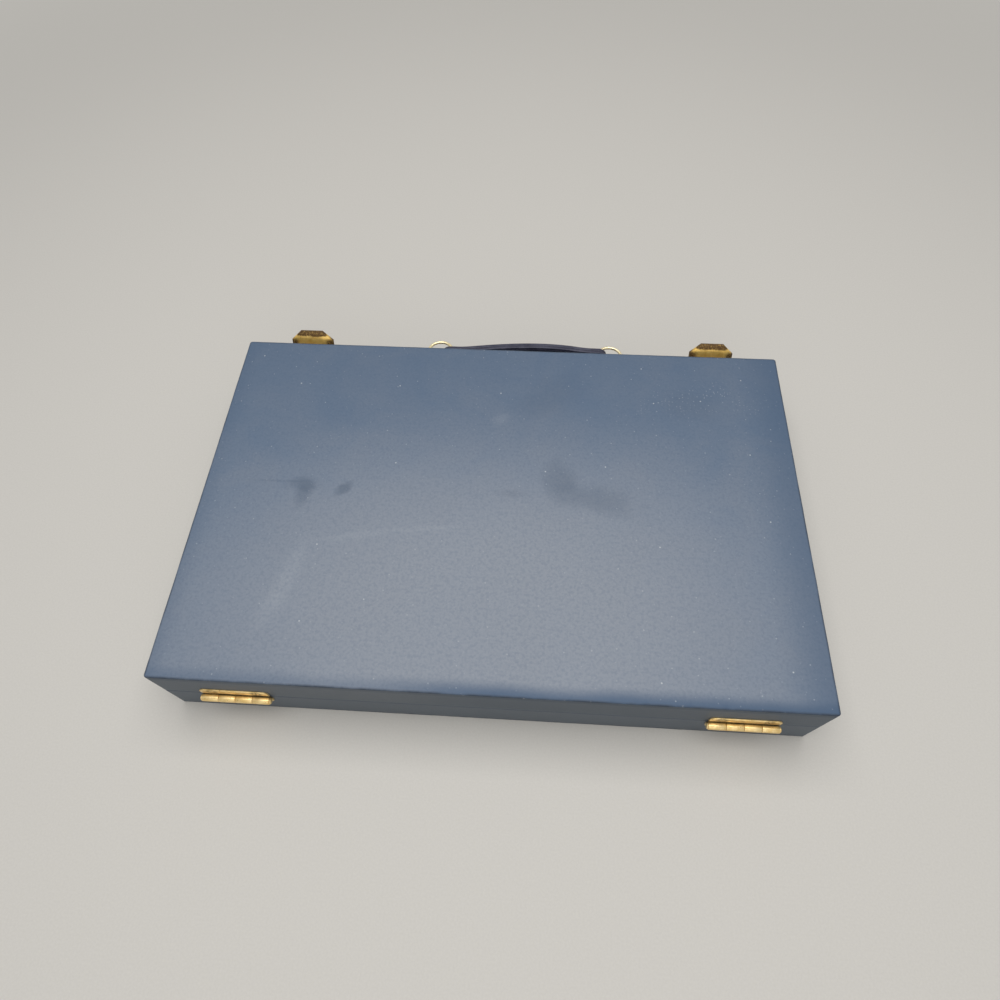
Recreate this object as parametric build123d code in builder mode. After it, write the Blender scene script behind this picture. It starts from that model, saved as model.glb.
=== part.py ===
from build123d import *
import math
import os

# A folding backgammon case, shut, with everything in it. The origin is the middle of its
# underside: X runs along the hinges, +Y points to the clasps and the handle, Z is up.
# The lower half is the tray that holds the pieces, and the upper half is the lid.

os.makedirs("parts", exist_ok=True)

# Case
case_width = 381.0
case_depth = 249.4
case_height = 54.5
corner_radius = 2.0
cover_thick = 1.0
wall_thick = 8.0
panel_thick = 4.0
rebate_depth = 4.0
seam_gap = 0.3
edge_round = 0.8
fit_gap = 0.05

# Playing board
board_thick = 3.0
points_per_end = 6
point_gap = 1.2
point_margin = 2.0
facing_tips_gap = 67.0
inlay_thick = 0.8
divider_thick = 6.0
divider_drop = 1.0
scoop_radius = 16.0
scoop_depth = 9.0
loose_gap = 0.3

# Checkers, cups and dice
checker_play = 0.5
checker_chamfer = 0.8
checkers_per_side = 15
stack_gap = 0.05
cup_head_room = 4.25
cup_length = 60.0
cup_wall = 2.2
cup_bead = 0.6
cup_side_gap = 1.2
lining_thick = 1.0
die_size = 12.0
die_round = 1.2
dice_per_cup = 2
dice_spacing = 16.0
cube_size = 18.0
cube_round = 1.6

# Storage bed
bed_height = 14.0
bed_floor = 1.2
bed_clearance = 0.3
bed_rib = 2.0
bed_end = 0.6
roll_slack = 1.0
cup_slack = 0.6
cube_pocket = 20.0
pocket_round = 2.0

# Screws
screw_radius = 0.9
screw_length = 7.0
screw_head_radius = 1.8
screw_head_height = 0.8
screw_head_bevel = 0.5

# Hinges, at the front
hinge_inset = 44.5
hinge_length = 40.0
knuckle_count = 4
knuckle_radius = 2.3
knuckle_gap = 0.3
hinge_wall_gap = 0.3
leaf_thick = 0.8
leaf_height = 9.0
leaf_corner = 3.0
curl_slit = 0.25
curl_slit_start = 0.7
pin_head_radius = 1.9
pin_head_length = 0.8
hinge_screw_x = 13.0
hinge_screw_height = 5.9

# Clasps, at the back
clasp_inset = 43.0
clasp_axis_height = 5.75
clasp_plate_thick = 1.0
clasp_plate_height = 14.0
clasp_plate_below = 2.2
clasp_plate_clip = 4.0
clasp_knuckle_radius = 2.2
clasp_pin_radius = 0.9
clasp_lug_length = 5.0
clasp_gap = 0.3
clasp_screw_x = 9.0
clasp_screw_height = 7.5
hasp_open_angle = 155.0
hasp_width = 31.0
hasp_tip_width = 16.0
hasp_root_width = 20.0
hasp_root = 2.9
hasp_shoulder = 9.0
hasp_clip = 6.6
hasp_length = 22.2
hasp_back = 1.2
hasp_front = 2.2
crown_rise = 0.9
crown_run = 5.0
hasp_bevel = 0.7
tip_bevel_drop = 0.9
tip_bevel_run = 3.2
catch_distance = 13.0
catch_width = 11.0
catch_depth = 4.0
catch_rise = 2.6
catch_plate_width = 24.0
catch_plate_height = 11.0
catch_plate_clip = 3.0
catch_screw_x = 8.8
pocket_side_gap = 0.5
pocket_swing_gap = 1.2

# Handle, on the lid's back wall
handle_shift = 11.25
staple_spacing = 127.5
staple_height = 9.25
staple_reach = 4.2
staple_wire_radius = 1.0
staple_loop_radius = 2.7
staple_leg = 6.0
staple_plate_width = 9.0
staple_plate_height = 13.0
staple_plate_thick = 1.0
ring_radius = 8.8
ring_wire_radius = 1.1
ring_droop = 2.0
left_hole_turn = 20.0
right_hole_turn = 2.0
strap_width = 12.5
ply_thick = 2.2
strap_bow_left = 1.1
strap_bow_right = 2.0
strap_bow_share = 0.15
strap_end = 6.3
strap_flat = 5.0
eyelet_bore = 3.0
eyelet_wall = 0.5
eyelet_flange = 1.3
eyelet_flange_thick = 0.5

# Sizes that follow
hinge_z = case_height / 2
rim_z = hinge_z - seam_gap / 2
rail_top = rim_z - cover_thick
panel_top = cover_thick + panel_thick
board_top = panel_top + board_thick
inner_width = case_width - 2 * (wall_thick + 2 * cover_thick)
inner_depth = case_depth - 2 * (wall_thick + 2 * cover_thick)
front_inner = -inner_depth / 2
back_inner = inner_depth / 2
bed_seat = panel_top + bed_floor
cup_space = case_height - panel_top - lining_thick - bed_seat
cup_radius = (cup_space - fit_gap - cup_head_room) / 2
trough_depth = 2 * (cup_radius + cup_side_gap)
trough_y = back_inner - trough_depth / 2
board_depth = inner_depth - trough_depth - divider_thick
board_y = front_inner + board_depth / 2
divider_y = front_inner + board_depth + divider_thick / 2
point_pitch = board_depth / points_per_end
point_length = (inner_width - facing_tips_gap) / 2 - point_margin
checker_radius = (point_pitch - checker_play) / 2
hinge_x = case_width / 2 - hinge_inset
clasp_x = case_width / 2 - clasp_inset
front_wall = -case_depth / 2
back_wall = case_depth / 2
hinge_offset = knuckle_radius + hinge_wall_gap
hinge_y = front_wall - hinge_offset
knuckle_pitch = hinge_length / knuckle_count
pin_radius = knuckle_radius - leaf_thick - fit_gap
halves = ["base", "lid"]


def seat(half, height):
    """The plane at a height above a half's outer face: the lid is the tray turned over."""
    if half == "base":
        return Plane.XY.offset(height)
    return Plane(origin=(0, 0, case_height - height), x_dir=(-1, 0, 0), z_dir=(0, 0, -1))


# Planes on the outside of the front and back walls. On the back one, local x is -X.
front_face = Plane(origin=(0, front_wall, 0), x_dir=(1, 0, 0), z_dir=(0, -1, 0))
back_face = Plane(origin=(0, back_wall, 0), x_dir=(-1, 0, 0), z_dir=(0, 1, 0))

hinge_screw_spots = {
    "base": [(side * hinge_x + reach, hinge_z - hinge_screw_height)
             for side in (-1, 1) for reach in (-hinge_screw_x, hinge_screw_x)],
    "lid": [(side * hinge_x + reach, hinge_z + hinge_screw_height)
            for side in (-1, 1) for reach in (-hinge_screw_x, hinge_screw_x)],
}
clasp_plate_width = hasp_root_width + 2 * clasp_lug_length
clasp_axis_y = back_wall + clasp_plate_thick + clasp_gap + clasp_knuckle_radius
clasp_axis_z = hinge_z + clasp_axis_height
catch_z = clasp_axis_z - catch_distance
clasp_screw_spots = {
    "base": [(side * clasp_x + reach, catch_z)
             for side in (-1, 1) for reach in (-catch_screw_x, catch_screw_x)],
    "lid": [(side * clasp_x + reach, clasp_axis_z + clasp_screw_height)
            for side in (-1, 1) for reach in (-clasp_screw_x, clasp_screw_x)],
}
staple_x = [handle_shift - staple_spacing / 2, handle_shift + staple_spacing / 2]
staple_z = hinge_z + staple_height
staple_leg_spots = [(-x, staple_z + side * staple_loop_radius) for x in staple_x for side in (-1, 1)]


def countersunk(face, spots, plate, room, mode):
    """Cones that narrow from a plate's outer face to its back, for screw heads and their seats."""
    with Locations(face):
        with Locations(*[(x, y, 0) for x, y in spots]):
            Cone(screw_radius + room, screw_head_radius + room, plate,
                 align=(Align.CENTER, Align.CENTER, Align.MIN), mode=mode)


def shanks(face, spots):
    """The screws' shanks, from a wall face into the rail behind it."""
    with BuildSketch(face) as rounds:
        with Locations(*spots):
            Circle(screw_radius)
    extrude(rounds.sketch, amount=-screw_length)


def raised_screws(face, spots, under_head):
    """Raised screws on a wall face, their heads resting on a plate of the given thickness."""
    with BuildSketch(face.offset(under_head)) as heads:
        with Locations(*spots):
            Circle(screw_head_radius)
    raised = extrude(heads.sketch, amount=screw_head_height)
    chamfer(raised.edges().group_by(Axis(face.origin, face.z_dir))[-1], screw_head_bevel)
    with BuildSketch(face) as necks:
        with Locations(*spots):
            Circle(screw_radius)
    extrude(necks.sketch, amount=under_head)
    shanks(face, spots)


def drill(face, spots, radius, depth):
    """Round holes into a wall from its outer face."""
    with BuildSketch(face.offset(cover_thick)) as holes:
        with Locations(*spots):
            Circle(radius)
    extrude(holes.sketch, amount=-depth - cover_thick, mode=Mode.SUBTRACT)


def wall_holes(half):
    """Every hole that the fittings need in a half's front and back walls."""
    hole = screw_radius + fit_gap
    drill(front_face, hinge_screw_spots[half], hole, screw_length)
    drill(back_face, clasp_screw_spots[half], hole, screw_length)
    if half == "lid":
        drill(back_face, staple_leg_spots, staple_wire_radius + fit_gap, staple_leg)


# Each half: four mitred rails round a panel, with leatherette outside, over the rim and inside
frame_width = case_width - 2 * cover_thick
frame_depth = case_depth - 2 * cover_thick
panel_width = frame_width - 2 * (wall_thick - rebate_depth)
panel_depth = frame_depth - 2 * (wall_thick - rebate_depth)
half_w = frame_width / 2
half_d = frame_depth / 2
in_w = half_w - wall_thick
in_d = half_d - wall_thick
rail_zones = {
    "front_rail": [(-half_w, -half_d), (half_w, -half_d), (in_w, -in_d), (-in_w, -in_d)],
    "back_rail": [(-half_w, half_d), (-in_w, in_d), (in_w, in_d), (half_w, half_d)],
    "left_rail": [(-half_w, -half_d), (-in_w, -in_d), (-in_w, in_d), (-half_w, half_d)],
    "right_rail": [(half_w, -half_d), (half_w, half_d), (in_w, in_d), (in_w, -in_d)],
}

for half in halves:
    turn = 1 if half == "base" else -1
    for name, zone in rail_zones.items():
        with BuildPart() as rail:
            with BuildSketch(seat(half, cover_thick)):
                RectangleRounded(frame_width, frame_depth, corner_radius - cover_thick)
                Rectangle(frame_width - 2 * wall_thick, frame_depth - 2 * wall_thick, mode=Mode.SUBTRACT)
            extrude(amount=rail_top - cover_thick)
            with BuildSketch(seat(half, cover_thick)):
                Rectangle(panel_width, panel_depth)
            extrude(amount=panel_thick, mode=Mode.SUBTRACT)
            with BuildSketch(seat(half, 0)):
                Polygon(*[(turn * x, y) for x, y in zone], align=None)
            extrude(amount=rim_z, mode=Mode.INTERSECT)
            if name in ("front_rail", "back_rail"):
                wall_holes(half)
        rail.part.label = f"{half}_{name}"
        export_step(rail.part, f"parts/{half}_{name}.step")

    with BuildPart() as panel:
        with BuildSketch(seat(half, cover_thick)):
            Rectangle(panel_width, panel_depth)
        extrude(amount=panel_thick)
    panel.part.label = f"{half}_panel"
    export_step(panel.part, f"parts/{half}_panel.step")

    with BuildPart() as side_wrap:
        with BuildSketch(seat(half, cover_thick)):
            RectangleRounded(case_width, case_depth, corner_radius)
            Rectangle(inner_width, inner_depth, mode=Mode.SUBTRACT)
        extrude(amount=rim_z - cover_thick)
        rim_edges = side_wrap.edges().group_by(Axis.Z)[-1 if half == "base" else 0]
        fillet(rim_edges, edge_round)
        with BuildSketch(seat(half, cover_thick)):
            RectangleRounded(frame_width, frame_depth, corner_radius - cover_thick)
            Rectangle(frame_width - 2 * wall_thick, frame_depth - 2 * wall_thick, mode=Mode.SUBTRACT)
        extrude(amount=rail_top - cover_thick, mode=Mode.SUBTRACT)
        with BuildSketch(seat(half, cover_thick)):
            Rectangle(panel_width, panel_depth)
        extrude(amount=panel_thick, mode=Mode.SUBTRACT)
        wall_holes(half)
    side_wrap.part.label = f"{half}_side_wrap"
    export_step(side_wrap.part, f"parts/{half}_side_wrap.step")

    with BuildPart() as outer_sheet:
        with BuildSketch(seat(half, 0)):
            RectangleRounded(case_width, case_depth, corner_radius)
        extrude(amount=cover_thick)
        fillet(outer_sheet.edges().group_by(Axis.Z)[0 if half == "base" else -1], edge_round)
    outer_sheet.part.label = f"{half}_outer_sheet"
    export_step(outer_sheet.part, f"parts/{half}_outer_sheet.step")


# Playing board: six points at each end, of two colours in turn, let in flush
def points_of(half, colour):
    """Triangles of one colour; a point faces one of the other colour across the board."""
    with BuildSketch(seat(half, board_top - inlay_thick)) as triangles:
        for number in range(points_per_end):
            for end in (-1, 1):
                if (number % 2 == 0) == ((end < 0) == (colour == "dark")):
                    y = front_inner + (number + 0.5) * point_pitch
                    base_x = end * (inner_width / 2 - point_margin)
                    tip_x = base_x - end * point_length
                    half_base = (point_pitch - point_gap) / 2
                    with BuildLine():
                        Polyline((base_x, y - half_base), (base_x, y + half_base), (tip_x, y), close=True)
                    make_face()
    return triangles.sketch


for half in halves:
    with BuildPart() as playing_board:
        with BuildSketch(seat(half, panel_top)):
            with Locations((0, board_y)):
                Rectangle(inner_width, board_depth)
        extrude(amount=board_thick)
        for colour in ("dark", "light"):
            extrude(points_of(half, colour), amount=inlay_thick, mode=Mode.SUBTRACT)
    playing_board.part.label = f"{half}_playing_board"
    export_step(playing_board.part, f"parts/{half}_playing_board.step")

    for colour in ("dark", "light"):
        with BuildPart() as points:
            extrude(points_of(half, colour), amount=inlay_thick)
        points.part.label = f"{half}_points_{colour}"
        export_step(points.part, f"parts/{half}_points_{colour}.step")

# Storage trough. Along it lie a roll of checkers, a cup, the doubling cube, a cup and a roll.
bed_length = inner_width - 2 * loose_gap
bed_depth = trough_depth - 2 * loose_gap
cup_pocket = cup_length + cup_slack
roll_pocket = (bed_length - cube_pocket) / 2 - cup_pocket - bed_rib - bed_end
checker_pitch = (roll_pocket - roll_slack) / checkers_per_side
checker_thick = checker_pitch - stack_gap
cup_x = cube_pocket / 2 + cup_pocket / 2
roll_x = cube_pocket / 2 + cup_pocket + bed_rib + roll_pocket / 2
roll_channel = checker_radius + bed_clearance
cup_channel = cup_radius + bed_clearance
scoop_z = rim_z - divider_drop - scoop_depth + scoop_radius

for half in halves:
    with BuildPart() as divider:
        with BuildSketch(seat(half, panel_top)):
            with Locations((0, divider_y)):
                Rectangle(inner_width, divider_thick)
        extrude(amount=rim_z - divider_drop - panel_top)
        with BuildSketch(Plane(origin=(0, divider_y + divider_thick, 0), x_dir=(-1, 0, 0), z_dir=(0, 1, 0))):
            scoop_height = scoop_z if half == "base" else case_height - scoop_z
            with Locations(*[(x, scoop_height) for x in (-roll_x, 0, roll_x)]):
                Circle(scoop_radius)
        extrude(amount=-2 * divider_thick, mode=Mode.SUBTRACT)
        chamfer(divider.edges().filter_by(GeomType.CIRCLE), edge_round)
    divider.part.label = f"{half}_divider"
    export_step(divider.part, f"parts/{half}_divider.step")


def channel(middle_x, length, radius):
    """A half-round channel along the bed, its lowest line on the bed's floor."""
    with BuildSketch(Plane.YZ.offset(middle_x - length / 2)) as section:
        with Locations((trough_y, bed_seat + radius)):
            Circle(radius)
    extrude(section.sketch, amount=length, mode=Mode.SUBTRACT)


with BuildPart() as storage_bed:
    with BuildSketch(Plane.XY.offset(panel_top)):
        with Locations((0, trough_y)):
            Rectangle(bed_length, bed_depth)
    extrude(amount=bed_height)
    for side in (-1, 1):
        channel(side * roll_x, roll_pocket, roll_channel)
        channel(side * cup_x, cup_pocket, cup_channel)
    with BuildSketch(Plane.XY.offset(bed_seat)):
        with Locations((0, trough_y)):
            RectangleRounded(cube_pocket + fit_gap, cube_pocket, pocket_round)
    extrude(amount=bed_height, mode=Mode.SUBTRACT)
storage_bed.part.label = "storage_bed"
export_step(storage_bed.part, "parts/storage_bed.step")

with BuildPart() as lid_storage_lining:
    with BuildSketch(seat("lid", panel_top)):
        with Locations((0, trough_y)):
            Rectangle(bed_length, bed_depth)
    extrude(amount=lining_thick)
lid_storage_lining.part.label = "lid_storage_lining"
export_step(lid_storage_lining.part, "parts/lid_storage_lining.step")

# Checkers stand on edge in their channels like a roll of coins
checker_z = bed_seat + checker_radius + fit_gap
for side, colour in ((-1, "dark"), (1, "light")):
    with BuildPart() as checkers:
        for number in range(checkers_per_side):
            start = side * roll_x + (number - checkers_per_side / 2) * checker_pitch
            with BuildSketch(Plane.YZ.offset(start)):
                with Locations((trough_y, checker_z)):
                    Circle(checker_radius)
            extrude(amount=checker_thick)
        chamfer(checkers.edges().filter_by(GeomType.CIRCLE), checker_chamfer)
    checkers.part.label = f"checkers_{colour}"
    export_step(checkers.part, f"parts/checkers_{colour}.step")

# Cups lie on their sides with their mouths to the middle; two dice lie in each
cup_z = bed_seat + cup_radius + fit_gap
cup_inner = cup_radius - cup_wall
bore = cup_inner - lining_thick
corner_centre = die_size / 2 - die_round
die_drop = math.sqrt((bore - die_round) ** 2 - corner_centre ** 2) - corner_centre - fit_gap
for side, name in ((-1, "left"), (1, "right")):
    bottom_x = side * (cup_x + cup_length / 2)
    inward = (-side, 0, 0)
    cup_plane = Plane(origin=(bottom_x, trough_y, cup_z), x_dir=(0, 0, 1), z_dir=inward)
    with BuildPart() as cup:
        with BuildSketch(cup_plane):
            Circle(cup_radius)
        extrude(amount=cup_length)
        with BuildSketch(cup_plane.offset(cup_wall)):
            Circle(cup_inner)
        extrude(amount=cup_length, mode=Mode.SUBTRACT)
        fillet(cup.edges().filter_by(GeomType.CIRCLE).group_by(Axis.X)[-1 if side > 0 else 0], cup_wall / 2)
        fillet(cup.edges().filter_by(GeomType.CIRCLE).group_by(Axis.X)[0 if side > 0 else -1], cup_bead)
    cup.part.label = f"dice_cup_{name}"
    export_step(cup.part, f"parts/dice_cup_{name}.step")

    with BuildPart() as lining:
        with BuildSketch(cup_plane.offset(cup_wall)):
            Circle(cup_inner)
        extrude(amount=cup_length - 2 * cup_wall)
        with BuildSketch(cup_plane.offset(cup_wall + lining_thick)):
            Circle(bore)
        extrude(amount=cup_length, mode=Mode.SUBTRACT)
    lining.part.label = f"cup_lining_{name}"
    export_step(lining.part, f"parts/cup_lining_{name}.step")

    with BuildPart() as dice:
        with Locations(*[(side * cup_x + step * dice_spacing, trough_y, cup_z - die_drop)
                         for step in [number - (dice_per_cup - 1) / 2 for number in range(dice_per_cup)]]):
            Box(die_size, die_size, die_size)
        fillet(dice.edges(), die_round)
    dice.part.label = f"dice_{name}"
    export_step(dice.part, f"parts/dice_{name}.step")

with BuildPart() as doubling_cube:
    with Locations((0, trough_y, bed_seat + cube_size / 2)):
        Box(cube_size, cube_size, cube_size)
    fillet(doubling_cube.edges(), cube_round)
doubling_cube.part.label = "doubling_cube"
export_step(doubling_cube.part, "parts/doubling_cube.step")

# Hinges: the lid's leaf has the first and third knuckles, the case's leaf the others
plate_start = knuckle_radius + knuckle_gap
for side, name in ((-1, "left"), (1, "right")):
    start_x = side * hinge_x - hinge_length / 2
    for half, up, first in (("base", -1, 1), ("lid", 1, 0)):
        with BuildPart() as leaf:
            with BuildSketch(front_face):
                with Locations((side * hinge_x, hinge_z + up * (plate_start + leaf_height) / 2)):
                    Rectangle(hinge_length, leaf_height - plate_start)
            extrude(amount=leaf_thick)
            outer_corners = leaf.edges().filter_by(Axis.Y).group_by(Axis.Z)[-1 if up > 0 else 0]
            fillet(outer_corners, leaf_corner)
            for number in range(first, knuckle_count, 2):
                knuckle_x = start_x + number * knuckle_pitch + knuckle_gap / 2
                with BuildSketch(Plane.YZ.offset(knuckle_x)):
                    with Locations((hinge_y, hinge_z)):
                        Circle(knuckle_radius)
                    with Locations((front_wall - leaf_thick / 2, hinge_z + up * plate_start / 2)):
                        Rectangle(leaf_thick, plate_start + 2 * fit_gap)
                extrude(amount=knuckle_pitch - knuckle_gap)
            with BuildSketch(Plane.YZ.offset(start_x)):
                slit_length = knuckle_radius - curl_slit_start
                with Locations((front_wall - leaf_thick - curl_slit / 2,
                                hinge_z + up * (curl_slit_start + slit_length / 2))):
                    Rectangle(curl_slit, slit_length)
            extrude(amount=hinge_length, mode=Mode.SUBTRACT)
            with BuildSketch(Plane.YZ.offset(start_x)):
                with Locations((hinge_y, hinge_z)):
                    Circle(pin_radius + fit_gap)
            extrude(amount=hinge_length, mode=Mode.SUBTRACT)
            countersunk(front_face, hinge_screw_spots[half], leaf_thick, fit_gap, Mode.SUBTRACT)
        leaf.part.label = f"hinge_{name}_{half}_leaf"
        export_step(leaf.part, f"parts/hinge_{name}_{half}_leaf.step")

    with BuildPart() as pin:
        with BuildSketch(Plane.YZ.offset(start_x)):
            with Locations((hinge_y, hinge_z)):
                Circle(pin_radius)
        extrude(amount=hinge_length)
        for head_x, out in ((start_x, -1), (start_x + hinge_length, 1)):
            with BuildSketch(Plane.YZ.offset(head_x)):
                with Locations((hinge_y, hinge_z)):
                    Circle(pin_head_radius)
            extrude(amount=out * pin_head_length)
        chamfer(pin.edges().group_by(Axis.X)[0] + pin.edges().group_by(Axis.X)[-1], pin_head_length / 2)
    pin.part.label = f"hinge_{name}_pin"
    export_step(pin.part, f"parts/hinge_{name}_pin.step")

# Clasps: a plate with two lugs on the lid, a faceted hasp between them, a catch on the case
hasp_up = math.radians(hasp_open_angle - 90)
knuckle_span = hasp_root_width - 2 * clasp_gap
for side, name in ((-1, "left"), (1, "right")):
    middle = side * clasp_x
    with BuildPart() as plate:
        with BuildSketch(back_face):
            with Locations((-middle, clasp_axis_z - clasp_plate_below + clasp_plate_height / 2)):
                Rectangle(clasp_plate_width, clasp_plate_height)
        extrude(amount=clasp_plate_thick)
        chamfer(plate.edges().filter_by(Axis.Y), clasp_plate_clip / 2)
        for lug in (-1, 1):
            lug_x = middle + lug * (hasp_root_width + clasp_lug_length) / 2 - clasp_lug_length / 2
            with BuildSketch(Plane.YZ.offset(lug_x)):
                with Locations((clasp_axis_y, clasp_axis_z)):
                    Circle(clasp_knuckle_radius)
                with Locations(((back_wall + clasp_axis_y) / 2, clasp_axis_z)):
                    Rectangle(clasp_axis_y - back_wall, 2 * clasp_knuckle_radius)
            extrude(amount=clasp_lug_length)
        with BuildSketch(Plane.YZ.offset(middle - clasp_plate_width / 2)):
            with Locations((clasp_axis_y, clasp_axis_z)):
                Circle(clasp_pin_radius + fit_gap)
        extrude(amount=clasp_plate_width, mode=Mode.SUBTRACT)
        with BuildSketch(back_face):
            with Locations(*clasp_screw_spots["lid"]):
                Circle(screw_radius + fit_gap)
        extrude(amount=clasp_plate_thick, mode=Mode.SUBTRACT)
    plate.part.label = f"clasp_{name}_plate"
    export_step(plate.part, f"parts/clasp_{name}_plate.step")

    with BuildPart() as clasp_pin:
        with BuildSketch(Plane.YZ.offset(middle - clasp_plate_width / 2)):
            with Locations((clasp_axis_y, clasp_axis_z)):
                Circle(clasp_pin_radius)
        extrude(amount=clasp_plate_width)
    clasp_pin.part.label = f"clasp_{name}_pin"
    export_step(clasp_pin.part, f"parts/clasp_{name}_pin.step")

    # The hasp's plane holds the pin's axis: local y runs along the hasp, and z out of its face.
    # Its face rises by shallow facets to a small flat crown, with a wider bevel at the tip.
    hasp_plane = Plane(origin=(middle, clasp_axis_y, clasp_axis_z), x_dir=(1, 0, 0),
                       z_dir=(0, -math.sin(hasp_up), math.cos(hasp_up)))
    with BuildPart() as hasp:
        with BuildSketch(hasp_plane.offset(-hasp_back)):
            with BuildLine():
                Polyline((-hasp_root_width / 2, hasp_root), (hasp_root_width / 2, hasp_root),
                         (hasp_width / 2, hasp_shoulder), (hasp_width / 2, hasp_length - hasp_clip),
                         (hasp_tip_width / 2, hasp_length), (-hasp_tip_width / 2, hasp_length),
                         (-hasp_width / 2, hasp_length - hasp_clip), (-hasp_width / 2, hasp_shoulder),
                         close=True)
            make_face()
        extrude(amount=hasp_back + hasp_front)
        out = Axis(hasp_plane.origin, hasp_plane.z_dir)
        along = Axis(hasp_plane.origin, hasp_plane.y_dir)
        front = hasp.faces().sort_by(out)[-1]
        chamfer(front.edges(), crown_run, crown_rise, reference=front)
        tip = hasp.faces().sort_by(along)[-1]
        chamfer(tip.edges().sort_by(out)[-1], tip_bevel_drop, tip_bevel_run, reference=tip)
        rim_level = hasp_front - crown_rise
        chamfer(hasp.edges().filter_by_position(out, rim_level - fit_gap, rim_level + fit_gap), hasp_bevel)
        with BuildSketch(Plane.YZ.offset(middle - knuckle_span / 2)):
            with Locations((clasp_axis_y, clasp_axis_z)):
                Circle(clasp_knuckle_radius)
        extrude(amount=knuckle_span)
        with BuildSketch(hasp_plane.offset(-hasp_back)):
            with Locations((0, hasp_root)):
                Rectangle(knuckle_span, 2 * hasp_root)
        extrude(amount=hasp_back + hasp_front / 2)
        with BuildSketch(Plane.YZ.offset(middle - hasp_width / 2)):
            with Locations((clasp_axis_y, clasp_axis_z)):
                Circle(clasp_pin_radius + fit_gap)
        extrude(amount=hasp_width, mode=Mode.SUBTRACT)
        with BuildSketch(hasp_plane.offset(-hasp_back)):
            with Locations((0, catch_distance)):
                RectangleRounded(catch_width + 2 * pocket_side_gap, catch_depth + 2 * pocket_swing_gap, 1)
        pocket_depth = catch_rise + pocket_side_gap - (clasp_axis_y - back_wall - clasp_plate_thick - hasp_back)
        extrude(amount=pocket_depth, mode=Mode.SUBTRACT)
    hasp.part.label = f"clasp_{name}_hasp"
    export_step(hasp.part, f"parts/clasp_{name}_hasp.step")

    with BuildPart() as catch:
        with BuildSketch(back_face):
            with Locations((-middle, catch_z)):
                Rectangle(catch_plate_width, catch_plate_height)
        extrude(amount=clasp_plate_thick)
        chamfer(catch.edges().filter_by(Axis.Y), catch_plate_clip)
        with BuildSketch(back_face.offset(clasp_plate_thick)):
            with Locations((-middle, catch_z)):
                Rectangle(catch_width, catch_depth)
        nose = extrude(amount=catch_rise)
        fillet(nose.faces().sort_by(Axis.Y)[-1].edges().filter_by(Axis.X), catch_depth / 4)
        with BuildSketch(back_face):
            with Locations(*clasp_screw_spots["base"]):
                Circle(screw_radius + fit_gap)
        extrude(amount=clasp_plate_thick, mode=Mode.SUBTRACT)
    catch.part.label = f"clasp_{name}_catch"
    export_step(catch.part, f"parts/clasp_{name}_catch.step")

for half in halves:
    with BuildPart() as hinge_screws:
        countersunk(front_face, hinge_screw_spots[half], leaf_thick, 0, Mode.ADD)
        shanks(front_face, hinge_screw_spots[half])
    hinge_screws.part.label = f"{half}_hinge_screws"
    export_step(hinge_screws.part, f"parts/{half}_hinge_screws.step")

    with BuildPart() as clasp_screws:
        raised_screws(back_face, clasp_screw_spots[half], clasp_plate_thick)
    clasp_screws.part.label = f"{half}_clasp_screws"
    export_step(clasp_screws.part, f"parts/{half}_clasp_screws.step")

# Handle: staples in the lid's back wall, rings hanging out of them, a bowed strap on the rings
droop = math.radians(ring_droop)
pivot_y = back_wall + staple_reach
outward = (0, math.cos(droop), -math.sin(droop))
hole_turn = [math.radians(left_hole_turn), math.radians(right_hole_turn)]
hole_out = [ring_radius * (1 - math.sin(turn)) for turn in hole_turn]
hole_y = [pivot_y + out * math.cos(droop) for out in hole_out]
hole_z = staple_z - sum(hole_out) / 2 * math.sin(droop)
hole_x = [staple_x[0] + ring_radius * math.cos(hole_turn[0]),
          staple_x[1] - ring_radius * math.cos(hole_turn[1])]
for x, name in zip(staple_x, ("left", "right")):
    with BuildPart() as staple:
        with BuildSketch(back_face):
            with Locations((-x, staple_z)):
                RectangleRounded(staple_plate_width, staple_plate_height, staple_plate_width / 3)
        extrude(amount=staple_plate_thick)
        with BuildLine() as wire:
            low = (x, back_wall - staple_leg, staple_z - staple_loop_radius)
            high = (x, back_wall - staple_leg, staple_z + staple_loop_radius)
            low_bend = (x, pivot_y, staple_z - staple_loop_radius)
            high_bend = (x, pivot_y, staple_z + staple_loop_radius)
            Line(low, low_bend)
            ThreePointArc(low_bend, (x, pivot_y + staple_loop_radius, staple_z), high_bend)
            Line(high_bend, high)
        with BuildSketch(Plane(origin=low, z_dir=(0, 1, 0))):
            Circle(staple_wire_radius)
        sweep(path=wire.wires()[0])
    staple.part.label = f"handle_staple_{name}"
    export_step(staple.part, f"parts/handle_staple_{name}.step")

    centre = (x, pivot_y + ring_radius * outward[1], staple_z + ring_radius * outward[2])
    with BuildPart(Plane(origin=centre, x_dir=(1, 0, 0), z_dir=(0, math.sin(droop), math.cos(droop)))) as ring:
        Torus(ring_radius, ring_wire_radius)
    ring.part.label = f"handle_ring_{name}"
    export_step(ring.part, f"parts/handle_ring_{name}.step")

strap_start = hole_x[0] - strap_end
strap_finish = hole_x[1] + strap_end
strap_middle = (strap_start + strap_finish) / 2
bow_start = (strap_start + strap_end + strap_flat, hole_y[0])
bow_finish = (strap_finish - strap_end - strap_flat, hole_y[1])


def between(share, bow):
    """A point a share of the way along the strap's free stretch, bowed out from its chord."""
    return (bow_start[0] + (bow_finish[0] - bow_start[0]) * share,
            bow_start[1] + (bow_finish[1] - bow_start[1]) * share + bow)


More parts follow.
